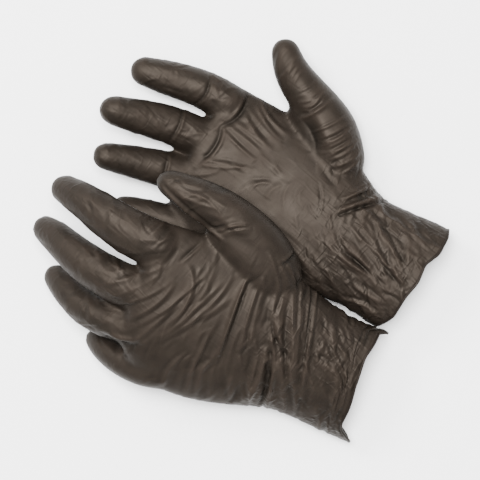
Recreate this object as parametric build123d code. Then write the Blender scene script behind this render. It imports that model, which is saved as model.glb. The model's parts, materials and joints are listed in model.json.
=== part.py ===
from build123d import *
import os
from math import cos, radians, sin

os.makedirs("parts", exist_ok=True)

# A pair of thin dipped gloves, puffed out as if worn, lying one partly on the other.
# The right glove lies palm up on the table, and the left glove lies on it, back up.
# Millimetres, +Z up, z = 0 is the table. The origin is at the bottom centre of the pair.
#
# Each glove is drawn in its own hand frame: the origin is the middle of the wrist, +X runs
# to the fingers, +Y to the little finger and +Z up from the table.

# The film
film_wall = 0.7        # thickness of every wall
bead_width = 2.4       # rolled rim of the cuff, across the film
bead_length = 2.4      # rolled rim of the cuff, along the film
knuckle_gap = 1.2      # free room around the root of each digit

# The hand that both gloves are puffed out to
wrist_breadth = 75.0
wrist_depth = 38.0
heel_station = 30.0    # from the wrist to the section across the heel of the hand
heel_breadth = 96.0
heel_depth = 36.0
hand_station = 62.0    # from the wrist to the section across the thumb's web
hand_breadth = 104.0
hand_depth = 33.0
front_station = 125.0  # from the wrist to the far end of the palm, before it is cut for the digits
front_breadth = 102.0
front_depth = 27.0
cuff_length = 46.0     # from the wrist to the rolled rim
mouth_breadth = 73.0
mouth_depth = 39.0
rest_flat = 2.0        # how far the film is pressed flat where it lies on the table
thenar_breadth = 39.0  # thumb's base, deep in the palm
thenar_depth = 26.0
thenar_collar = 1.0    # how far the thumb's base stands proud of the thumb's knuckle

# Digits: name, knuckle in the hand frame, heading (0 along +X, towards the thumb below 0),
# pitch at the knuckle and at the tip (up above 0), length from knuckle to tip,
# radius at the knuckle and at the tip
right_digits = [
    ("thumb", (54.0, -65.5, 3.6), -32.0, 5.4, 14.0, 51.0, 14.6, 9.2),
    ("index_finger", (117.0, -41.5, 0.9), 10.0, 4.5, 12.0, 57.0, 12.3, 8.8),
    ("middle_finger", (119.0, -13.5, 1.3), 12.5, 7.7, 24.0, 61.0, 12.3, 8.9),
    ("ring_finger", (118.5, 13.5, 0.0), 16.5, 4.2, 24.0, 52.0, 11.6, 8.6),
    ("little_finger", (98.0, 41.5, -2.3), 12.5, 1.0, 4.0, 46.0, 10.3, 7.8),
]
left_digits = [
    ("thumb", (62.5, -68.5, 1.0), -11.0, -7.0, -14.0, 58.0, 14.2, 8.8),
    ("index_finger", (118.0, -40.5, -1.0), -9.5, -12.0, -58.0, 76.0, 13.6, 8.6),
    ("middle_finger", (120.0, -10.0, -1.0), -11.0, -16.0, -60.0, 75.0, 13.0, 8.8),
    ("ring_finger", (113.0, 16.5, -1.5), -13.0, -14.0, -74.0, 69.0, 11.8, 8.6),
    ("little_finger", (98.0, 41.0, -5.5), -9.0, -27.0, -84.0, 43.0, 10.2, 8.0),
]
right_thenar = (22.0, -26.0, 1.0)  # where the middle line of the thumb's base starts
left_thenar = (24.0, -24.0, 1.0)

# Where each hand lies: middle of the wrist, heading of the fingers, rise of the palm towards
# the fingers and towards the thumb, all in degrees. The cuff's mouth is skewed, in degrees,
# and drifts towards the little finger. Deeper wrists lift both hands, and longer cuffs move the
# left hand off the right one.
right_wrist = (67.0, -2.0, wrist_depth / 2 - rest_flat)
right_heading = 151.0
right_rise = -2.0
right_roll = 0.0
right_mouth = (-7.0, 0.0)
left_wrist = (36.0, -61.0 - cuff_length / 4, wrist_depth / 2 + 5.5)
left_heading = 162.4
left_rise = 11.0
left_roll = 12.0
left_mouth = (-8.0, 6.5)

digit_rings = 6                  # stretches that a finger's taper and curl are drawn in
dome_steps = (28.0, 52.0, 72.0)  # latitudes of the rings that round a fingertip


def hand_plane(wrist, heading, rise, roll):
    """The hand frame, as a plane: X to the fingers, Y to the little finger."""
    frame = Location(wrist) * Rotation(0, 0, heading) * Rotation(0, -rise, 0) * Rotation(-roll, 0, 0)
    return Plane(frame)


def section(plane, station, breadth, depth):
    """An oval across the hand, at a station along it."""
    across = Plane(plane.from_local_coords((station, 0, 0)), x_dir=plane.y_dir, z_dir=plane.x_dir)
    return across * Ellipse(breadth / 2, depth / 2)


def mouth_frame(plane, mouth):
    """The plane across the cuff's mouth, upright over the table, with X to the little finger."""
    skew, drift = mouth
    back = plane.from_local_coords((-cuff_length, drift, 0))
    across = Vector(plane.y_dir.X, plane.y_dir.Y, 0).rotate(Axis.Z, skew)
    centre = Vector(back.X, back.Y, mouth_depth / 2 - rest_flat)
    return Plane(centre, x_dir=across, z_dir=across.cross(Vector(0, 0, 1)))


def palm_body(plane, inset):
    """The palm's outside, or its inside at an inset of one wall."""
    grow = -2 * inset
    return loft([
        section(plane, 0, wrist_breadth + grow, wrist_depth + grow),
        section(plane, heel_station, heel_breadth + grow, heel_depth + grow),
        section(plane, hand_station, hand_breadth + grow, hand_depth + grow),
        section(plane, front_station, front_breadth + grow, front_depth + grow),
    ])


def cuff_body(plane, mouth, inset):
    """The cuff from the wrist to its mouth, outside or inside."""
    grow = -2 * inset
    rim = mouth_frame(plane, mouth) * Ellipse(mouth_breadth / 2 - inset, mouth_depth / 2 - inset)
    return loft([section(plane, 0, wrist_breadth + grow, wrist_depth + grow), rim])


def over_table(height):
    """Everything above a height over the table."""
    return Pos(0, 0, height) * Box(900, 900, 400, align=(Align.CENTER, Align.CENTER, Align.MIN))


def digit_spine(plane, digit):
    """The digit's middle line from its knuckle: an arc that starts at one pitch and ends at another."""
    knuckle, heading, pitch, tip_pitch, length = digit[1:6]
    start = plane.location * Location(knuckle) * Rotation(0, 0, heading)
    bend = radians(tip_pitch - pitch)
    turn_radius = length / abs(bend)
    side = Plane(start * Rotation(90, 0, 0))
    return side.from_local_coords(
        JernArc((0, 0), (cos(radians(pitch)), sin(radians(pitch))), turn_radius, tip_pitch - pitch)
    )


def digit_body(plane, digit, inset):
    """A tapered finger with a round tip and a rounded root that is open to the palm."""
    length, root_radius, tip_radius = digit[5:]
    spine = digit_spine(plane, digit)
    side = spine.normal()
    root = Plane(origin=spine @ 0, x_dir=side, z_dir=spine % 0)
    taper_length = length - tip_radius
    rings = []
    for step in range(digit_rings + 1):
        share = step / digit_rings
        rings.append((share * taper_length, root_radius + share * (tip_radius - root_radius)))
    for latitude in dome_steps:
        turn = radians(latitude)
        rings.append((taper_length + tip_radius * sin(turn), tip_radius * cos(turn)))
    faces = [root.offset(-0.6 * root_radius) * Circle(0.8 * root_radius - inset)]
    for station, radius in rings:
        along = min(station, length - inset) / length
        ring = Plane(origin=spine @ along, x_dir=side, z_dir=spine % along)
        faces.append(ring * Circle(radius - inset))
    if inset:
        faces.insert(0, root.offset(-root_radius) * Circle(0.8 * root_radius - inset))
    return loft(faces, ruled=True)


def digit(plane, spec):
    """One finger of film: a closed tip, hollow and open at its root."""
    return digit_body(plane, spec, 0) - digit_body(plane, spec, film_wall)


def thenar_body(plane, thumb, thenar, inset):
    """The cone of film that carries the thumb's knuckle, from inside the palm."""
    knuckle, root_radius = thumb[1], thumb[6]
    start = plane.from_local_coords(thenar)
    end = plane.from_local_coords(knuckle)
    along = (end - start).normalized()
    near = Plane(start, x_dir=plane.z_dir, z_dir=along)
    far = Plane(end, x_dir=plane.z_dir, z_dir=along)
    wide_end = near * Ellipse(thenar_depth / 2 - inset, thenar_breadth / 2 - inset)
    return loft([wide_end, far * Circle(root_radius + thenar_collar - inset)])


def knuckle_room(plane, spec):
    """The room that a digit turns in: round its knuckle and straight ahead of it."""
    knuckle, heading = spec[1:3]
    length, root_radius = spec[5:7]
    radius = root_radius + knuckle_gap
    slot = Circle(radius) + Pos(length, 0) * Rectangle(2 * length, 2 * radius)
    return plane.location * Location(knuckle) * Rotation(0, 0, heading) * extrude(slot, 60, both=True)


def front_room(plane, fingers):
    """Everything in front of the line through the four knuckles."""
    knuckles = [spec[1][:2] for spec in fingers]
    far = 400
    outline = [(knuckles[0][0], -far), *knuckles, (knuckles[-1][0], far), (far, far), (far, -far)]
    face = make_face(Polyline(*outline, close=True))
    return plane.location * extrude(face, 200, both=True)


def palm(plane, digits, thenar):
    """The palm of film: open at the wrist and at each knuckle."""
    thumb = digits[0]
    outside = palm_body(plane, 0) + thenar_body(plane, thumb, thenar, 0)
    inside = palm_body(plane, film_wall) + thenar_body(plane, thumb, thenar, film_wall)
    shell = (outside & over_table(0)) - (inside & over_table(film_wall))
    shell -= front_room(plane, digits[1:])
    for spec in digits:
        shell -= knuckle_room(plane, spec)
    return shell


def cuff(plane, mouth):
    """The cuff of film: a tube from the wrist to its mouth."""
    outside = cuff_body(plane, mouth, 0) & over_table(0)
    inside = cuff_body(plane, mouth, film_wall) & over_table(film_wall)
    return outside - inside


def cuff_bead(plane, mouth):
    """The rolled rim round the cuff's mouth, pressed flat on the table like the cuff."""
    proud = (bead_width - film_wall) / 2
    frame = mouth_frame(plane, mouth)
    outside = extrude(frame * Ellipse(mouth_breadth / 2 + proud, mouth_depth / 2 + proud), -bead_length)
    hole = Ellipse(mouth_breadth / 2 - film_wall - proud, mouth_depth / 2 - film_wall - proud)
    inside = extrude(frame * hole, -bead_length) & over_table(film_wall + proud)
    return (outside & over_table(0)) - inside


right_plane = hand_plane(right_wrist, right_heading, right_rise, right_roll)
left_plane = hand_plane(left_wrist, left_heading, left_rise, left_roll)
gloves = [
    ("right", right_plane, right_digits, right_thenar, right_mouth),
    ("left", left_plane, left_digits, left_thenar, left_mouth),
]

nodes = {}
for side, plane, digits, thenar, mouth in gloves:
    nodes[f"{side}_palm"] = palm(plane, digits, thenar)
    nodes[f"{side}_cuff"] = cuff(plane, mouth)
    nodes[f"{side}_cuff_bead"] = cuff_bead(plane, mouth)
    for spec in digits:
        nodes[f"{side}_{spec[0]}"] = digit(plane, spec)

# The pair stands on the origin: the bottom centre of its box
box = Compound(list(nodes.values())).bounding_box()
to_origin = Location((-box.center().X, -box.center().Y, -box.min.Z))
for name, shape in nodes.items():
    export_step(to_origin * shape, f"parts/{name}.step")
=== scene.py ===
import json
import math
import random

import bmesh
import bpy
import numpy as np
from mathutils import Matrix, Vector
from mathutils.bvhtree import BVHTree

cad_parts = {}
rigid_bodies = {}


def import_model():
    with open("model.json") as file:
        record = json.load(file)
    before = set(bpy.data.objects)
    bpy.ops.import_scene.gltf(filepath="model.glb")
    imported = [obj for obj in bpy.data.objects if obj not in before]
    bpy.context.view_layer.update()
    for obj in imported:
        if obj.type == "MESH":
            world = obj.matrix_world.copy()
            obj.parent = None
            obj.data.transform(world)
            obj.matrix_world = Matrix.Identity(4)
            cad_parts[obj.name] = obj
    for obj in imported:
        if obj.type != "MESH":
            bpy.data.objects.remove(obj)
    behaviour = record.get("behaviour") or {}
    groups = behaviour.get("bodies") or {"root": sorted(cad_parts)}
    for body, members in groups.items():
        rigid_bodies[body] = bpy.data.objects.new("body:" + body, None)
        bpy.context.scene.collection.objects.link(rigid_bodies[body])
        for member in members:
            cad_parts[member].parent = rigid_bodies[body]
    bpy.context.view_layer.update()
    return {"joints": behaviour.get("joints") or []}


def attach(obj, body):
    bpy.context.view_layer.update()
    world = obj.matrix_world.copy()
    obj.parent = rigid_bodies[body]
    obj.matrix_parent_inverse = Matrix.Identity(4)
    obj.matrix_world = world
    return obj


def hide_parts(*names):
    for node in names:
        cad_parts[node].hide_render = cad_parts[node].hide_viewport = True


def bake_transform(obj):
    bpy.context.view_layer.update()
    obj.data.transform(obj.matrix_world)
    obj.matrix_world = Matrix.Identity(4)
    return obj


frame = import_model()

# A pair of thin dipped nitrile gloves, puffed out as if worn. The right glove lies palm up, and
# the left glove lies across it, back up. Each glove's film is one skin, drawn through rings,
# wrinkled, and then cut into the palm, its heel, the cuff and the five digits. The rolled bead is
# drawn along the cuff's open edge.
# Lengths are in millimetres until a point is placed, and then in metres.
# A hand frame starts in the middle of the wrist: X to the fingers, Y to the little finger, Z up.

joints = {joint["name"]: joint for joint in frame["joints"]}
mm = 0.001
digit_names = ["thumb", "index_finger", "middle_finger", "ring_finger", "little_finger"]

# ---- The hand that the film is drawn over ----

# The middle finger's hinge in its hand frame, and that finger's heading in degrees
middle_knuckle = {"right": (119.0, -13.5, 1.3), "left": (120.0, -10.0, -1.0)}
middle_heading = {"right": 12.5, "left": -11.0}

# Palm and cuff rings: station, thumb side, little finger side, height of the middle, half depth
palm_rings = {
    "right": [
        (-62, -40, 38, 0, 19.5), (-46, -40, 37.5, 0, 19.5), (-34, -38.5, 37, 0, 19),
        (-20, -37, 35.5, 0, 18.5), (-8, -36, 36.5, 0, 18.5), (2, -40, 38.5, 0, 18.5),
        (12, -46, 41.5, 0, 18.5), (24, -50, 45, 0, 18), (40, -54, 49, 0, 17.5),
        (60, -55, 52, 0, 16.5), (80, -55, 52.5, 0, 15), (95, -55, 49, 0, 14),
        (107, -55, 36, 0, 13), (115, -54, 29, 0, 12),
    ],
    "left": [
        (-62, -33, 45, 1.5, 19), (-46, -33, 44, 1.5, 19), (-34, -33.5, 42.5, 1, 19),
        (-22, -35.5, 41, 1, 18.5), (-10, -39, 39.5, 0, 18.5), (0, -42, 38.5, 0, 18.5),
        (10, -46, 38.5, 0, 18.5), (20, -50, 41.5, 0, 18), (35, -54, 45, 0, 17.5),
        (52, -56, 48, 0, 17), (70, -57, 48.5, 0, 16), (88, -57, 45, 0, 15),
        (104, -57, 33, 0, 13.5), (114, -56, 24, -1, 12.5),
    ],
}

# Digit rings from deep in the palm to the tip: middle point, half breadth, half depth
digit_rings = {
    "right": {
        "thumb": [
            (18, -36, 0, 13, 13), (32, -49, 1.5, 16.5, 15.5), (44, -59, 2.5, 17.5, 16),
            (54, -65.5, 3.6, 15, 14.6), (65, -69.8, 5, 13.8, 13), (76, -74.3, 6.5, 12.8, 11.8),
            (85.5, -80, 8.6, 11.2, 10.3), (91.5, -86.5, 10.3, 9.6, 9),
        ],
        "index_finger": [
            (98, -41.5, 0, 13, 12.5), (114, -42, 1, 13.2, 12.3), (128, -41.9, 2, 12.4, 11.8),
            (142, -39, 3.4, 12, 11), (154, -36.2, 5.2, 11, 10.2), (164, -33.6, 7, 9.7, 9.2),
        ],
        "middle_finger": [
            (100, -14, 0, 12.8, 12.5), (118, -13.6, 1.6, 13.2, 12.3), (131, -12.6, 3.8, 12.8, 11.7),
            (147, -8.8, 7.4, 12, 11), (159, -5, 11.6, 10.9, 10.3), (168.5, -2.4, 15, 9.6, 9.3),
        ],
        "ring_finger": [
            (98, 10, -0.5, 12.3, 12), (112, 12, 0, 12.5, 12), (126, 14.9, 1.8, 12, 11.3),
            (141, 19.3, 5, 10.9, 10.5), (151, 22.6, 8.6, 10, 9.7), (159, 25.2, 11.8, 8.9, 8.8),
        ],
        "little_finger": [
            (84, 39, -2, 11.5, 11), (98, 41, -2.4, 10.8, 10.5), (111, 42.6, -2.4, 10.3, 10),
            (123, 45.6, -2.2, 9.7, 9.5), (134, 48.8, -1.8, 8.8, 8.8),
        ],
    },
    "left": {
        "thumb": [
            (20, -38, 0, 14, 13.5), (33, -50, 0.5, 16.5, 15.5), (46, -61, 1, 16.5, 15),
            (58, -67.8, 1.2, 15, 14), (74, -73.8, 0, 14.1, 13.2), (89, -76.6, -2, 13, 11.8),
            (103, -77.8, -5, 11.2, 10.2), (112, -79, -7.2, 8.8, 8.6),
        ],
        "index_finger": [
            (96, -41, 0, 15, 14), (112, -41, -1, 15.4, 13.4), (125, -42.3, -3.4, 15.2, 12.8),
            (139, -45.2, -8.6, 14, 12.2), (153, -48.6, -17, 12.2, 11.4), (163, -50, -26, 10.8, 10.4),
            (169.5, -49.8, -33, 9.4, 9.2),
        ],
        "middle_finger": [
            (100, -9, 0, 14.5, 13.5), (116, -9.4, -2, 14, 13.2), (130, -10.6, -6.2, 13.9, 12.8),
            (145, -13, -14.5, 13, 12), (157, -16.6, -24.5, 11.6, 11.2), (166, -19.4, -34, 10.4, 10),
            (171.5, -20, -40.5, 9, 8.9),
        ],
        "ring_finger": [
            (92, 14, -1, 13, 12.5), (104, 15.4, -2.6, 12.4, 12.5), (114.5, 16.2, -6, 12, 12),
            (123, 16.8, -11, 11.7, 11.6), (133, 16.4, -19, 11.4, 11.2), (144, 13.2, -28.5, 10.7, 10.6),
            (151, 9.6, -36.5, 9.7, 9.6), (155, 8, -41.5, 8.6, 8.6),
        ],
        "little_finger": [
            (72, 34, 0, 12, 11.5), (82, 38, -2, 11, 11), (91, 40, -5, 10.6, 10.8),
            (100, 40.2, -10.4, 10.2, 10.4), (108.5, 39.4, -17.4, 9.8, 10), (115, 37.6, -24.4, 9.1, 9.2),
            (118.5, 36.2, -29.5, 8.3, 8.3),
        ],
    },
}

# The fleshy web that joins the thumb to the palm, in the same words as a digit
web_rings = {
    "right": [(22, -36, 0, 14, 14), (36, -47, 1, 17, 15), (50, -55, 2, 15.5, 14), (62, -60.5, 3, 12, 11.5)],
    "left": [(24, -36, 0.5, 15, 14.5), (40, -48, 1.5, 18, 15.5), (56, -57, 1.5, 17, 14.5),
             (70, -62.5, 0.5, 12.5, 11.5)],
}

palm_sides = 32
digit_sides = 20
tip_latitudes = (22, 44, 64, 80)   # rings that round a tip, in degrees from its last full ring
skin_voxel = 1.7                   # spacing of the points of the first skin
skin_rounds = 9                    # rounds of smoothing that draw the film over its webs
mouth_station = -50                # where the cuff is cut open
mouth_fade = 26                    # from there to where the mouth's uneven edge no longer draws the film
rim_station = -25                  # an open edge behind this is the mouth's
table_clear = 0.35                 # from the table to the film that is pressed flat on it
table_soft = 0.7                   # how gently the film turns flat there
film = 0.25                        # thickness of the film, drawn double the real one
bead_radius = 0.85                 # rolled rim
bead_clear = 1.1                   # the rim's middle line over the table
# From a digit's hinge to the seam just past its web
web_ahead = {
    "right": {"thumb": 13, "index_finger": 6, "middle_finger": 10, "ring_finger": 6, "little_finger": 12},
    "left": {"thumb": 19, "index_finger": 13, "middle_finger": 14, "ring_finger": 18, "little_finger": 9},
}
seam_reach = 22                    # how far from its middle a seam is cut, to leave the next digit whole
seam_slip = 0.001                  # points this little behind a seam still count as on it
cut_slip = 0.05                    # and points this near a cut are taken into it
heel_station = 50                  # the palm's film is cut in two here, to keep its pieces small
contact_gap = 0.5                  # between the two gloves' films where they touch
contact_reach = 8                  # how deep the upper glove is pressed out of the lower one
rim_gap = 1.6                      # more room round the lower glove's rolled rim
rim_zone = (36, 46)                # how far behind that glove's wrist the room begins, and is whole

# The edge of the mouth, seen on its upper side: place across the hand and station
mouth_edge = {
    "right": [(-42, -51), (-34, -54), (-22, -54), (-12, -49.5), (0, -51), (12, -48.5), (26, -48),
              (32, -45), (38, -40)],
    "left": [(-37, -60), (-33.5, -56.5), (-31, -43), (-16, -37), (3, -37), (18, -38.5),
             (30, -38), (35, -40.5), (42, -50)],
}

# ---- Folds of the film ----
# A fold is a start, a middle and an end in its hand frame. A family lies between its first and
# last fold: count, half width, height (below 0 a groove) and how far its ends are scattered.

folds_seen = {
    "right": [
        ([(54, -49), (44, -59), (38, -72)], [(26, -36), (21, -43), (18, -52)], 13, 1.1, 0.75, 1.5),
        ([(73, -68), (68, -76), (65, -84)], [(62, -55), (56, -63), (52, -75)], 9, 1.2, 0.6, 2),
        ([(92, -74), (93, -83), (92, -91)], [(78, -66), (76, -76), (75, -86)], 7, 1.3, 0.55, 2),
        ([(103, -24), (89, -20), (75, -18)], [(90, -53), (80, -47), (66, -42)], 7, 1.5, 0.7, 2),
        ([(106, -2), (100, -6), (90, -11)], [(104, 1), (88, -5), (70, -11)], 4, 1.4, 0.6, 2),
        ([(76, 5), (72, -1), (66, -6)], [(36, -4), (38, -13), (40, -20)], 5, 1.6, 0.35, 3),
        ([(15, -22), (11, -32), (3, -43)], [(13, -16), (2, -24), (-9, -36)], 7, 1.3, 0.8, 1.5),
        ([(-20, -34), (-33, -20), (-46, -3)], [(12, 3), (-4, 10), (-27, 14)], 10, 1.5, 0.8, 4),
        ([(-14, 17), (-28, 20), (-40, 19)], [(-16, 32), (-30, 31), (-44, 30)], 5, 1.6, 0.8, 3),
        ([(36, 12), (19, 18), (-4, 26)], [(44, 28), (24, 33), (0, 36)], 5, 2.2, 0.6, 3),
    ],
    "left": [
        ([(108, -42), (124, -28), (146, -18)], [(84, -15), (92, 4), (106, 24)], 8, 1.6, 0.55, 3),
        ([(90, -40), (84, -20), (92, 8)], [(52, -37), (66, -15), (84, 14)], 7, 1.6, 0.55, 4),
        ([(67, -4), (69, 14), (72, 30)], [(45, -14), (45, 3), (43, 24)], 7, 1.5, 0.5, 4),
        ([(48, -41), (50, -22), (49, 9)], [(36, -44), (37, -27), (34, -4)], 3, 1.8, 1.0, 2),
        ([(45, -61), (36, -51), (28, -38)], [(22, -58), (9, -50), (3, -40)], 5, 1.5, 0.8, 2),
        ([(30, -38), (27, -17), (14, 4)], [(4, -44), (2, -21), (-6, 18)], 7, 1.9, 1.4, 3),
        ([(26, 38), (24, 18), (26, 2)], [(-8, 30), (2, 12), (10, -4)], 7, 1.9, 1.0, 3),
        ([(-7, -30), (-22, -18), (-40, -5)], [(-9, 2), (-22, 11), (-36, 28)], 7, 1.5, 0.7, 5),
        ([(74, 45), (75, 32), (73, 18)], [(12, 38), (20, 27), (30, 18)], 9, 1.8, 0.7, 3),
        ([(126, -54), (121, -58), (114, -62)], [(116, -48), (111, -53), (105, -58)], 5, 1.1, 0.5, 1),
        ([(118, -85), (105, -81), (93, -88)], [(104, -70), (92, -76), (76, -73)], 6, 1.4, 0.6, 4),
        ([(76, -68), (70, -72), (62, -75)], [(74, -60), (67, -66), (58, -70)], 5, 1.1, 0.7, 1),
        ([(158, -36), (151, -35), (140, -31)], [(158, -24), (150, -22), (138, -20)], 5, 1.2, 0.45, 2),
    ],
}
# Single deep folds of the upper side, in the same words
folds_deep = {
    "right": [
        ([(104, -27), (98, -39), (100, -53)], 1.5, -1.5),
        ([(105, -26), (102, -14), (106, 1)], 1.5, -1.5),
        ([(127, -52), (123, -40), (127, -30)], 1.1, -1.1),
        ([(132, -25), (128, -14), (129, -2)], 1.1, -1.1),
        ([(126, 5), (122, 15), (121, 26)], 1.1, -1.1),
        ([(13, -12), (5, -22), (-10, -37)], 1.4, -1.7),
        ([(15, -22), (8, -29), (1, -42)], 1.3, -1.3),
        ([(-9, -5), (-24, 0), (-44, 8)], 1.4, -1.7),
        ([(-1, 6), (-12, 7), (-26, 12)], 1.3, -1.4),
        ([(64, -55), (52, -49), (44, -40)], 5.0, -1.6),
    ],
    "left": [
        ([(7, -48), (3, -21), (-5, 19)], 1.7, -2.6),
        ([(26, -33), (25, -16), (9, -1)], 1.5, -1.7),
        ([(24, -6), (16, 13), (14, 36)], 1.6, -1.7),
        ([(50, -40), (52, -22), (51, 10)], 1.8, 1.5),
        ([(84, -52), (88, -46), (93, -38)], 1.0, -0.9),
        ([(121, 25), (111, 26), (101, 22)], 2.6, -3.0),
        ([(119, -77), (99, -68), (73, -59)], 1.3, 1.2),
        ([(33, -56), (28, -60), (24, -66)], 1.3, -1.5),
        ([(76, -34), (83, -22), (93, -4)], 1.2, 0.9),
    ],
}

# The crumpled cuffs: short folds scattered over a patch, on both sides of the hand.
# Lowest and highest station, thumb side, little finger side, heading, spread, how many, height
crumples = {
    "right": [(-50, 4, -38, 38, 150, 30, 80, 0.55), (4, 34, -44, 42, 128, 30, 26, 0.45),
              (60, 112, -50, 46, 20, 60, 34, 0.28), (112, 172, -56, 36, 8, 70, 90, 0.24)],
    "left": [(-50, 2, -38, 42, 115, 36, 85, 0.55), (2, 40, -48, 44, 96, 24, 56, 0.65),
             (46, 112, -52, 44, 70, 30, 46, 0.34), (108, 172, -62, 42, -8, 70, 90, 0.3),
             (70, 118, -90, -60, 10, 50, 26, 0.35)],
}
scatter_seed = {"right": 11, "left": 23}

# A fold's section, in half widths from its line and shares of its height: a crest over the line,
# and a trough to its left
crest_height = 1.15
crest_fall = 1.2
crest_power = 1.15
trough_depth = 0.55
trough_place = 1.6
trough_width = 0.8
fold_reach = 5                     # past this many half widths the film lies still
end_share = 0.03                   # a fold ends as high as it is at this share of its length
taper_power = 0.6                  # under 1, a fold stays high along most of its length

# Least and most of what is scattered: shares of a family's width and height, and a crumple's half
# length, bow and half width in millimetres and share of its height
family_widths = (0.75, 1.3)
family_heights = (0.45, 1.35)
crumple_halves = (3, 11)
crumple_bows = (-2.5, 2.5)
crumple_widths = (0.9, 2.1)
crumple_heights = (0.4, 1.3)
crest_share = 0.6                  # of the crumples stand out, and the others are grooves

# How far up the film faces, from where it has its lower side's folds to where it has its upper side's
side_slopes = (-0.25, 0.35)

# The slack of the film, which its finest creases need: whole on the cuff, least in the palm
palm_tightness = 0.85
palm_zone = (0, 50)                # stations over which the cuff turns into the tight palm
finger_slack = 0.27
finger_zone = (85, 130)            # stations over which the palm turns into the fingers

# ---- Studio, in metres ----

hand_height = 0.025                # middle height of the gloves
camera_distance = 1.68
table_white = (0.96, 0.96, 0.96, 1)
sky_strength = 1.4


def deselect():
    """Nothing is selected or active afterwards."""
    for obj in bpy.context.view_layer.objects:
        obj.select_set(False)
    bpy.context.view_layer.objects.active = None


def activate(obj):
    """Only this object is selected and active."""
    deselect()
    obj.select_set(True)
    bpy.context.view_layer.objects.active = obj


def modify(obj, kind, **settings):
    """Adds a modifier with its settings and applies it."""
    activate(obj)
    modifier = obj.modifiers.new(kind.title(), kind)
    for name, value in settings.items():
        setattr(modifier, name, value)
    bpy.ops.object.modifier_apply(modifier=modifier.name)


def digit_axis(side, digit):
    """The digit's hinge line in the object's frame, pointing to the little finger."""
    return -Vector(joints[f"{side}_{digit}_knuckle"]["axis"])


def hand_frame(side):
    """The matrix from a hand frame to the object's frame, both in metres."""
    up = digit_axis(side, "thumb").cross(digit_axis(side, "little_finger")).normalized()
    ahead = digit_axis(side, "middle_finger").cross(up)
    forward = Matrix.Rotation(-math.radians(middle_heading[side]), 3, up) @ ahead
    across = up.cross(forward)
    turn = Matrix((forward, across, up)).transposed()
    hinge = Vector(joints[f"{side}_middle_finger_knuckle"]["pos_m"])
    return Matrix.Translation(hinge - turn @ (Vector(middle_knuckle[side]) * mm)) @ turn.to_4x4()


hands = {side: hand_frame(side) for side in ("right", "left")}


def read_points(obj, what="vertices", field="co"):
    """A mesh's points, or its normals, as an array of rows."""
    items = getattr(obj.data, what)
    values = np.empty(len(items) * 3)
    items.foreach_get(field, values)
    return values.reshape(-1, 3)


def write_points(obj, points):
    """Moves a mesh's points to these rows."""
    obj.data.vertices.foreach_set("co", points.ravel())
    obj.data.update()


def to_hand(side, points):
    """Rows in the object's frame and metres, as rows in the hand frame and millimetres."""
    back = np.array(hands[side].inverted())
    return (points @ back[:3, :3].T + back[:3, 3]) / mm


def from_hand(side, points):
    """Rows in the hand frame and millimetres, as rows in the object's frame and metres."""
    out = np.array(hands[side])
    return points * mm @ out[:3, :3].T + out[:3, 3]


def smooth_step(values, low, high):
    """0 below low, 1 above high, and an S between them."""
    share = np.clip((values - low) / (high - low), 0, 1)
    return share * share * (3 - 2 * share)


# ---- The skin ----


def loft(name, rings, sides):
    """A closed smooth skin through oval rings: centre, sideways, facing, half breadth, half depth."""
    deselect()
    for number, (centre, sideways, facing, breadth, depth) in enumerate(rings):
        upward = facing.cross(sideways)
        turn = Matrix((sideways, upward, facing)).transposed()
        bpy.ops.mesh.primitive_circle_add(
            vertices=sides, radius=breadth, location=centre, rotation=turn.to_euler())
        if number == 0:
            skin = bpy.context.active_object
            skin.name = name
            bpy.ops.object.transform_apply()
            bpy.ops.object.mode_set(mode="EDIT")
        bpy.ops.transform.resize(
            value=(1, depth / breadth, 1), orient_type="GLOBAL", orient_matrix=turn,
            orient_matrix_type="GLOBAL", center_override=centre)
    bpy.ops.mesh.select_all(action="SELECT")
    bpy.ops.mesh.bridge_edge_loops()
    bpy.ops.mesh.select_all(action="SELECT")
    bpy.ops.mesh.fill_holes(sides=0)
    bpy.ops.mesh.normals_make_consistent(inside=False)
    bpy.ops.object.mode_set(mode="OBJECT")
    modify(skin, "SUBSURF", levels=2, render_levels=2)
    return skin


def palm_skin(side):
    """The palm and the cuff, from past the mouth to the roots of the fingers."""
    hand = hands[side]
    turn = hand.to_3x3()
    rings = []
    for station, thumb_side, little_side, height, half_depth in palm_rings[side]:
        centre = hand @ (Vector((station, (thumb_side + little_side) / 2, height)) * mm)
        breadth = (little_side - thumb_side) / 2 * mm
        rings.append((centre, turn.col[1], turn.col[0], breadth, half_depth * mm))
    return loft(f"{side}_palm_skin", rings, palm_sides)


def digit_skin(side, digit, given):
    """A digit or a web, from deep in the palm to its round tip."""
    hand = hands[side]
    points = [hand @ (Vector(ring[:3]) * mm) for ring in given]
    axis = digit_axis(side, digit)
    rings = []
    for number, ring in enumerate(given):
        before = points[max(number - 1, 0)]
        after = points[min(number + 1, len(points) - 1)]
        facing = (after - before).normalized()
        sideways = (axis - facing * axis.dot(facing)).normalized()
        rings.append((points[number], sideways, facing, ring[3] * mm, ring[4] * mm))
    centre, sideways, facing, breadth, depth = rings[-1]
    for latitude in tip_latitudes:
        out = facing * breadth * math.sin(math.radians(latitude))
        shrink = math.cos(math.radians(latitude))
        rings.append((centre + out, sideways, facing, breadth * shrink, depth * shrink))
    return loft(f"{side}_{digit}_skin", rings, digit_sides)


def glove_skin(side):
    """One skin for the whole glove, with the cuff's mouth cut open."""
    parts = [palm_skin(side), digit_skin(side, "thumb", web_rings[side])]
    parts += [digit_skin(side, digit, digit_rings[side][digit]) for digit in digit_names]
    activate(parts[0])
    for part in parts:
        part.select_set(True)
    bpy.ops.object.join()
    skin = bpy.context.active_object
    skin.name = f"{side}_skin"
    modify(skin, "REMESH", mode="VOXEL", voxel_size=skin_voxel * mm)
    modify(skin, "SMOOTH", factor=0.5, iterations=skin_rounds)
    backward = -hands[side].to_3x3().col[0]
    cut(skin, from_hand(side, np.array([mouth_station, 0, 0])), backward, clear=True)
    return skin


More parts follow.
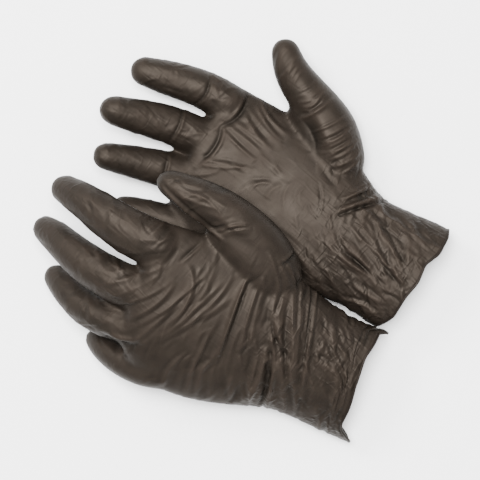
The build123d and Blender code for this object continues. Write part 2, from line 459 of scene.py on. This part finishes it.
def choose_faces(skin, marks):
    """Only the marked faces of a skin are selected, for an operator of edit mode."""
    activate(skin)
    bpy.context.tool_settings.mesh_select_mode = (False, False, True)
    skin.data.vertices.foreach_set("select", np.zeros(len(skin.data.vertices), bool))
    skin.data.edges.foreach_set("select", np.zeros(len(skin.data.edges), bool))
    skin.data.polygons.foreach_set("select", marks)


def cut(skin, place, facing, clear=False, chosen=None):
    """Cuts new edges through a skin where a plane crosses it, and may clear what lies beyond."""
    choose_faces(skin, np.ones(len(skin.data.polygons), bool) if chosen is None else chosen)
    bpy.ops.object.mode_set(mode="EDIT")
    bpy.ops.mesh.bisect(plane_co=place, plane_no=facing, clear_outer=clear, threshold=cut_slip * mm)
    bpy.ops.object.mode_set(mode="OBJECT")


# ---- Folding the film ----


def curve_points(fold, pieces=8):
    """Points along the smooth curve that starts, bends through the middle and ends as a fold does."""
    start, middle, end = (np.array(point, float) for point in fold)
    pull = 2 * middle - (start + end) / 2
    shares = np.linspace(0, 1, pieces + 1)[:, None]
    return (1 - shares) ** 2 * start + 2 * shares * (1 - shares) * pull + shares ** 2 * end


def add_fold(heights, flat, fold, width, height):
    """Adds one fold to the heights: a crest along its curve, with a trough along one side."""
    line = curve_points(fold)
    margin = fold_reach * width
    within = (flat > line.min(0) - margin) & (flat < line.max(0) + margin)
    near = np.flatnonzero(np.all(within, axis=1))
    points = flat[near]
    nearest = np.full(len(near), np.inf)
    across = np.zeros(len(near))
    along = np.zeros(len(near))
    for number, (a, b) in enumerate(zip(line, line[1:])):
        step = b - a
        share = np.clip((points - a) @ step / (step @ step), 0, 1)
        gap = points - (a + share[:, None] * step)
        distance = np.hypot(gap[:, 0], gap[:, 1])
        side = np.sign(step[0] * gap[:, 1] - step[1] * gap[:, 0])
        closer = distance < nearest
        nearest = np.where(closer, distance, nearest)
        across = np.where(closer, distance * side, across)
        along = np.where(closer, (number + share) / (len(line) - 1), along)
    u = across / width
    crest = crest_height * np.exp(-crest_fall * np.abs(u) ** crest_power)
    trough = trough_depth * np.exp(-((u - trough_place) / trough_width) ** 2)
    taper = np.sin(np.pi * np.clip(along, end_share, 1 - end_share)) ** taper_power
    heights[near] += height * taper * (crest - trough)


def fold_family(heights, flat, family, dice):
    """Adds the folds that lie between a family's first and last one."""
    first, last, count, width, height, scatter = family
    for number in range(count):
        share = number / max(count - 1, 1)
        fold = []
        for a, b in zip(first, last):
            x = a[0] + share * (b[0] - a[0]) + dice.uniform(-scatter, scatter)
            y = a[1] + share * (b[1] - a[1]) + dice.uniform(-scatter, scatter)
            fold.append((x, y))
        half_width = width * dice.uniform(*family_widths)
        rise = height * dice.uniform(*family_heights)
        add_fold(heights, flat, fold, half_width, rise)


def crumple(heights, flat, patch, dice):
    """Scatters short folds over a patch."""
    low, high, thumb_side, little_side, heading, spread, count, height = patch
    for number in range(count):
        x = dice.uniform(low, high)
        y = dice.uniform(thumb_side, little_side)
        turn = math.radians(heading + dice.uniform(-spread, spread))
        half = dice.uniform(*crumple_halves)
        bow = dice.uniform(*crumple_bows)
        ahead = (math.cos(turn), math.sin(turn))
        start = (x - half * ahead[0], y - half * ahead[1])
        middle = (x - bow * ahead[1], y + bow * ahead[0])
        end = (x + half * ahead[0], y + half * ahead[1])
        sign = 1 if dice.random() < crest_share else -1
        half_width = dice.uniform(*crumple_widths)
        rise = sign * height * dice.uniform(*crumple_heights)
        add_fold(heights, flat, (start, middle, end), half_width, rise)


def keep_values(skin, name, values):
    """Keeps one value for each point of a skin, for its material."""
    attribute = skin.data.attributes.new(name, "FLOAT", "POINT")
    attribute.data.foreach_set("value", values)


def fold_film(side, skin):
    """Moves the skin's points out and in along its folds, and keeps how high and how slack it is."""
    points = read_points(skin)
    normals = read_points(skin, "vertex_normals", "vector")
    local = to_hand(side, points)
    facing_up = normals @ np.array(hands[side].to_3x3().col[2])
    flat = local[:, :2]
    dice = random.Random(scatter_seed[side])
    upper = np.zeros(len(points))
    lower = np.zeros(len(points))
    for family in folds_seen[side]:
        fold_family(upper, flat, family, dice)
    for fold, width, height in folds_deep[side]:
        add_fold(upper, flat, fold, width, height)
    for patch in crumples[side]:
        crumple(upper, flat, patch, dice)
        crumple(lower, flat, patch, dice)
    share = smooth_step(facing_up, *side_slopes)
    heights = upper * share + lower * (1 - share)
    points += normals * heights[:, None] * mm
    write_points(skin, points)
    keep_values(skin, "fold_height", heights)
    tight = palm_tightness * smooth_step(local[:, 0], *palm_zone)
    loose = finger_slack * smooth_step(local[:, 0], *finger_zone)
    keep_values(skin, "film_slack", 1 - tight + loose)


def shape_mouth(side, skin):
    """Draws the cuff's edge out to its uneven line, and presses the glove flat on the table."""
    local = to_hand(side, read_points(skin))
    places, stations = zip(*mouth_edge[side])
    wanted = np.interp(local[:, 1], places, stations) - mouth_station
    fade = 1 - smooth_step(local[:, 0], mouth_station, mouth_station + mouth_fade)
    local[:, 0] += wanted * fade
    points = from_hand(side, local)
    floor = (table_clear + (bead_clear - table_clear) * fade) * mm
    soft = table_soft * mm
    points[:, 2] = floor + soft * np.logaddexp(0, (points[:, 2] - floor) / soft)
    write_points(skin, points)


# ---- Cutting the skin into pieces ----


def hinge_frame(side, digit):
    """Where a digit's hinge is, and the way the digit leaves the palm."""
    hinge = Vector(joints[f"{side}_{digit}_knuckle"]["pos_m"])
    up = hands[side].to_3x3().col[2]
    return hinge, digit_axis(side, digit).cross(up)


def seam_frame(side, digit):
    """Where a digit's seam is, just past its web, and the way the digit leaves the palm."""
    hinge, ahead = hinge_frame(side, digit)
    return hinge + ahead * web_ahead[side][digit] * mm, ahead


def digit_region(skin, side, digit):
    """Marks the digit's faces: all that can be reached from its tip without crossing its seam."""
    hinge, ahead = hinge_frame(side, digit)
    points = read_points(skin)
    along = (points - np.array(hinge)) @ np.array(ahead)
    ring = digit_rings[side][digit][-1]
    tip = from_hand(side, np.array(ring[:3]))
    shell = bmesh.new()
    shell.from_mesh(skin.data)
    shell.verts.ensure_lookup_table()
    start = int(np.argmin(np.linalg.norm(points - tip, axis=1)))
    seam = web_ahead[side][digit] * mm - seam_slip * mm
    reached = {start}
    waiting = [shell.verts[start]]
    while waiting:
        vertex = waiting.pop()
        for edge in vertex.link_edges:
            other = edge.other_vert(vertex)
            if other.index not in reached and along[other.index] > seam:
                reached.add(other.index)
                waiting.append(other)
    marks = np.array([all(v.index in reached for v in face.verts) for face in shell.faces])
    shell.free()
    return marks


def split_off(skin, marks, name):
    """Takes the marked faces off a skin, as a new piece."""
    choose_faces(skin, marks)
    bpy.ops.object.mode_set(mode="EDIT")
    bpy.ops.mesh.separate(type="SELECTED")
    bpy.ops.object.mode_set(mode="OBJECT")
    piece = [obj for obj in bpy.context.selected_objects if obj != skin][0]
    piece.name = name
    piece.data.name = name
    return piece


def keep_normals(skin):
    """Keeps the whole skin's normals, so that no seam shows between its pieces."""
    normals = read_points(skin, "vertex_normals", "vector")
    attribute = skin.data.attributes.new("film_normal", "FLOAT_VECTOR", "POINT")
    attribute.data.foreach_set("vector", normals.ravel())


def thicken(piece):
    """Gives the film its thickness inwards, and puts the whole skin's normals back on it."""
    outer = len(piece.data.vertices)
    modify(piece, "SOLIDIFY", thickness=film * mm, offset=-1)
    normals = np.empty(len(piece.data.vertices) * 3)
    piece.data.attributes["film_normal"].data.foreach_get("vector", normals)
    normals = normals.reshape(-1, 3)
    normals[outer:] *= -1
    piece.data.attributes.remove(piece.data.attributes["film_normal"])
    piece.data.shade_smooth()
    piece.data.normals_split_custom_set_from_vertices(normals)


def mouth_rim(side, skin, shell):
    """The open edges round the cuff's mouth."""
    local = to_hand(side, read_points(skin))
    return [e for e in shell.edges if e.is_boundary and local[e.verts[0].index, 0] < rim_station]


def rim_bead(side, cuff):
    """The rolled rim: a round bead along the cuff's open edge."""
    shell = bmesh.new()
    shell.from_mesh(cuff.data)
    rim = set(mouth_rim(side, cuff, shell))
    bmesh.ops.delete(shell, geom=list(shell.faces), context="FACES_ONLY")
    bmesh.ops.delete(shell, geom=[e for e in shell.edges if e not in rim], context="EDGES")
    bmesh.ops.delete(shell, geom=[v for v in shell.verts if not v.link_edges], context="VERTS")
    line = bpy.data.meshes.new(f"{side}_rolled_bead")
    shell.to_mesh(line)
    shell.free()
    bead = bpy.data.objects.new(f"{side}_rolled_bead", line)
    bpy.context.scene.collection.objects.link(bead)
    activate(bead)
    bpy.ops.object.convert(target="CURVE")
    bead.data.bevel_depth = bead_radius * mm
    bead.data.bevel_resolution = 3
    bpy.ops.object.convert(target="MESH")
    bead.data.name = bead.name
    bpy.ops.object.shade_smooth()
    return bead


def even_rim(side, skin, rounds=12):
    """Evens out the stepped edge of the cuff's mouth."""
    shell = bmesh.new()
    shell.from_mesh(skin.data)
    beside = {}
    for edge in mouth_rim(side, skin, shell):
        a, b = edge.verts
        beside.setdefault(a, []).append(b)
        beside.setdefault(b, []).append(a)
    for _ in range(rounds):
        places = {v: (v.co * 2 + sum((n.co for n in near), Vector())) / (2 + len(near))
                  for v, near in beside.items()}
        for vertex, place in places.items():
            vertex.co = place
    shell.to_mesh(skin.data)
    shell.free()


def lie_on(skin, under, rounds=5):
    """Presses a skin out of the right glove's surface, where it lies on that glove."""
    points = read_points(skin)
    behind = -to_hand("right", points)[:, 0]
    gaps = (contact_gap + rim_gap * smooth_step(behind, *rim_zone)) * mm
    lifts = np.zeros(points.shape)
    for number, (point, gap) in enumerate(zip(points, gaps)):
        place, normal = under.find_nearest(point, contact_reach * mm)[:2]
        if place is not None:
            height = (Vector(point) - place).dot(normal)
            lifts[number] = normal * max(gap - height, 0)
    ends = np.empty(len(skin.data.edges) * 2, int)
    skin.data.edges.foreach_get("vertices", ends)
    a, b = ends.reshape(-1, 2).T
    beside = 1 + np.bincount(ends, minlength=len(points))[:, None]
    for _ in range(rounds):
        spread = lifts.copy()
        np.add.at(spread, a, lifts[b])
        np.add.at(spread, b, lifts[a])
        spread /= beside
        larger = np.linalg.norm(spread, axis=1) > np.linalg.norm(lifts, axis=1)
        lifts[larger] = spread[larger]
    write_points(skin, points + lifts)


def cut_seams(side, skin):
    """Cuts new edges through a skin at the wrist, at the heel and just past each digit's web."""
    forward = hands[side].to_3x3().col[0]
    for station in (0, heel_station):
        cut(skin, from_hand(side, np.array([station, 0, 0])), forward)
    for digit in digit_names:
        seam, ahead = seam_frame(side, digit)
        centres = read_points(skin, "polygons", "center")
        chosen = np.linalg.norm(centres - np.array(seam), axis=1) < seam_reach * mm
        cut(skin, seam, ahead, chosen=chosen)


def divide(side, skin):
    """The pieces of a glove, by name: its skin taken apart at the seams, and the rolled bead."""
    pieces = {}
    for digit in digit_names:
        pieces[digit] = split_off(skin, digit_region(skin, side, digit), f"{side}_{digit}_film")
    centres = to_hand(side, read_points(skin, "polygons", "center"))
    pieces["cuff"] = split_off(skin, centres[:, 0] < 0, f"{side}_cuff_film")
    centres = to_hand(side, read_points(skin, "polygons", "center"))
    pieces["heel"] = split_off(skin, centres[:, 0] < heel_station, f"{side}_heel_film")
    skin.name = f"{side}_palm_film"
    skin.data.name = skin.name
    pieces["palm"] = skin
    pieces["bead"] = rim_bead(side, pieces["cuff"])
    for name, piece in pieces.items():
        if name != "bead":
            thicken(piece)
    return pieces


def make_glove(side, under=None):
    """All the pieces of one glove, and its whole surface for another glove to lie on."""
    skin = glove_skin(side)
    modify(skin, "SUBSURF", levels=1, render_levels=1)
    fold_film(side, skin)
    shape_mouth(side, skin)
    even_rim(side, skin)
    if under:
        lie_on(skin, under)
    corners = [vertex.co for vertex in skin.data.vertices]
    surface = BVHTree.FromPolygons(corners, [face.vertices for face in skin.data.polygons])
    cut_seams(side, skin)
    keep_normals(skin)
    return divide(side, skin), surface


# ---- Materials ----


def linear(code):
    """A colour's sRGB hex code as linear red, green and blue, and full alpha."""
    parts = [int(code[n:n + 2], 16) / 255 for n in (0, 2, 4)]
    return [part / 12.92 if part <= 0.04045 else ((part + 0.055) / 1.055) ** 2.4 for part in parts] + [1]


def add_node(tree, kind, links=None, **settings):
    """Adds a node with its settings. Links give an input's name and the socket that feeds it."""
    node = tree.nodes.new(kind)
    for name, value in settings.items():
        if name.startswith("in_"):
            node.inputs[name[3:].replace("_", " ")].default_value = value
        else:
            setattr(node, name, value)
    for name, socket in (links or {}).items():
        tree.links.new(socket, node.inputs[name])
    return node


def creases(tree, place, heading, length, width):
    """Sharp creases of the slack film, drawn out along a heading: their height."""
    turned = add_node(tree, "ShaderNodeVectorRotate", {"Vector": place}, rotation_type="Z_AXIS",
                      in_Angle=-math.radians(heading))
    sized = add_node(tree, "ShaderNodeVectorMath", {0: turned.outputs[0]}, operation="MULTIPLY")
    sized.inputs[1].default_value = (1 / (length * mm), 1 / (width * mm), 1 / (width * mm))
    return add_node(tree, "ShaderNodeTexNoise", {"Vector": sized.outputs[0]}, in_Scale=1.0, in_Detail=3.0,
                    in_Roughness=0.6, in_Distortion=0.5, noise_type="RIDGED_MULTIFRACTAL",
                    normalize=True).outputs[0]


def nitrile(name, dark, light, rough_low, rough_high):
    """Dipped and chlorinated nitrile rubber: a satin film, paler where a fold stretches it thin, with
    painted highlight on the fold crests and painted shade in the grooves.
    """
    material = bpy.data.materials.new(name)
    material.use_nodes = True
    tree = material.node_tree
    shader = tree.nodes["Principled BSDF"]
    place = add_node(tree, "ShaderNodeTexCoord").outputs["Object"]
    fold = add_node(tree, "ShaderNodeAttribute", attribute_name="fold_height").outputs["Fac"]
    slack = add_node(tree, "ShaderNodeAttribute", attribute_name="film_slack").outputs["Fac"]
    # Cloudy patches about 12 mm wide, where the film drained unevenly off its former
    cloud = add_node(tree, "ShaderNodeTexNoise", {"Vector": place}, in_Scale=1 / (12 * mm), in_Detail=3.0)
    # The crests of folds up to 1.2 mm high are paler, partly as film stretched thin and partly as painted
    # highlight, and the grooves are darker with painted shade
    stretch_and_fold_shade = add_node(tree, "ShaderNodeMapRange", {"Value": fold}, **{
        "in_From_Min": -1.2, "in_From_Max": 1.2, "in_To_Min": -0.5, "in_To_Max": 0.5})
    mixed = add_node(tree, "ShaderNodeMath", {0: cloud.outputs["Fac"], 1: stretch_and_fold_shade.outputs["Result"]},
                     operation="ADD", use_clamp=True)
    # Of a colour mix, inputs 6 and 7 and output 2 are the colours
    colours = add_node(tree, "ShaderNodeMix", {"Factor": mixed.outputs[0]}, data_type="RGBA")
    colours.inputs[6].default_value = linear(dark)
    colours.inputs[7].default_value = linear(light)
    tree.links.new(colours.outputs[2], shader.inputs["Base Color"])
    rough = add_node(tree, "ShaderNodeMapRange", {"Value": cloud.outputs["Fac"]}, **{
        "in_From_Min": 0.3, "in_From_Max": 0.7, "in_To_Min": rough_low, "in_To_Max": rough_high})
    tree.links.new(rough.outputs["Result"], shader.inputs["Roughness"])
    # Creases finer than the folds of the mesh: long ones down the hand, and short ones across it
    along = creases(tree, place, 140, 15, 3.2)
    across = creases(tree, place, 55, 12, 3)
    both = add_node(tree, "ShaderNodeMath", {0: along, 1: across}, operation="ADD")
    drawn = add_node(tree, "ShaderNodeMath", {0: both.outputs[0], 1: slack}, operation="MULTIPLY")
    low = add_node(tree, "ShaderNodeBump", {"Height": drawn.outputs[0]},
                   in_Strength=0.75, in_Distance=0.8 * mm)
    # Fine grain of the chlorinated skin, really about 0.1 mm, drawn at 0.5 mm so that it shows
    grain = add_node(tree, "ShaderNodeTexNoise", {"Vector": place}, in_Scale=1 / (0.5 * mm), in_Detail=2.0)
    feeds = {"Height": grain.outputs["Fac"], "Normal": low.outputs["Normal"]}
    high = add_node(tree, "ShaderNodeBump", feeds, in_Strength=0.3, in_Distance=0.06 * mm)
    tree.links.new(high.outputs["Normal"], shader.inputs["Normal"])
    shader.inputs["IOR"].default_value = 1.5
    shader.inputs["Specular IOR Level"].default_value = 0.15
    shader.inputs["Specular Tint"].default_value = linear("fbe9d8")
    return material


def dress(side, pieces, materials):
    """Gives each piece its finish and hides the nodes that it stands for, and puts each piece but a digit
    on its glove's body; a digit keeps its place in the world.
    """
    nodes = {"heel": "palm", "bead": "cuff_bead"}
    for name, piece in pieces.items():
        slot = "rolled_bead" if name == "bead" else "nitrile_film"
        piece.data.materials.clear()
        piece.data.materials.append(materials[slot])
        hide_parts(f"{side}_{nodes.get(name, name)}")
        if name in digit_names:
            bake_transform(piece)
        else:
            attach(piece, f"{side}_glove")


film_materials = {
    "nitrile_film": nitrile("dipped_nitrile_film", "0a0806", "1c1713", 0.46, 0.6),
    "rolled_bead": nitrile("rolled_nitrile_bead", "080605", "15110e", 0.44, 0.54),
}
right_pieces, right_surface = make_glove("right")
left_pieces = make_glove("left", right_surface)[0]
dress("right", right_pieces, film_materials)
dress("left", left_pieces, film_materials)

# ---- Floor, light and camera ----


def area_light(name, place, size, power, aim=(0, 0, 0.02)):
    """A square soft box at a place, turned to a point."""
    light = bpy.data.lights.new(name, "AREA")
    light.size = size
    light.energy = power
    lamp = bpy.data.objects.new(name, light)
    bpy.context.scene.collection.objects.link(lamp)
    lamp.location = place
    lamp.rotation_euler = (Vector(aim) - Vector(place)).to_track_quat("-Z", "Y").to_euler()


def studio():
    """A white table under large soft boxes, seen from straight above."""
    deselect()
    bpy.ops.mesh.primitive_plane_add(size=4, location=(0, 0, 0))
    table = bpy.context.active_object
    table.name = "table"
    white = bpy.data.materials.new("white_table_laminate")
    white.use_nodes = True
    shader = white.node_tree.nodes["Principled BSDF"]
    shader.inputs["Base Color"].default_value = table_white
    shader.inputs["Roughness"].default_value = 0.8
    table.data.materials.append(white)
    area_light("key_box", (-0.2, 0.3, 2.2), 0.9, 168)
    area_light("side_box", (-0.8, 0.7, 1.1), 0.5, 24)
    world = bpy.data.worlds.new("studio")
    world.use_nodes = True
    sky = world.node_tree.nodes["Background"]
    sky.inputs["Color"].default_value = (1, 1, 1, 1)
    sky.inputs["Strength"].default_value = sky_strength
    bpy.context.scene.world = world
    camera = bpy.data.cameras.new("camera")
    camera.lens = 200
    camera.sensor_width = 36
    eye = bpy.data.objects.new("camera", camera)
    bpy.context.scene.collection.objects.link(eye)
    eye.location = (0, 0, camera_distance + hand_height)
    bpy.context.scene.camera = eye


studio()
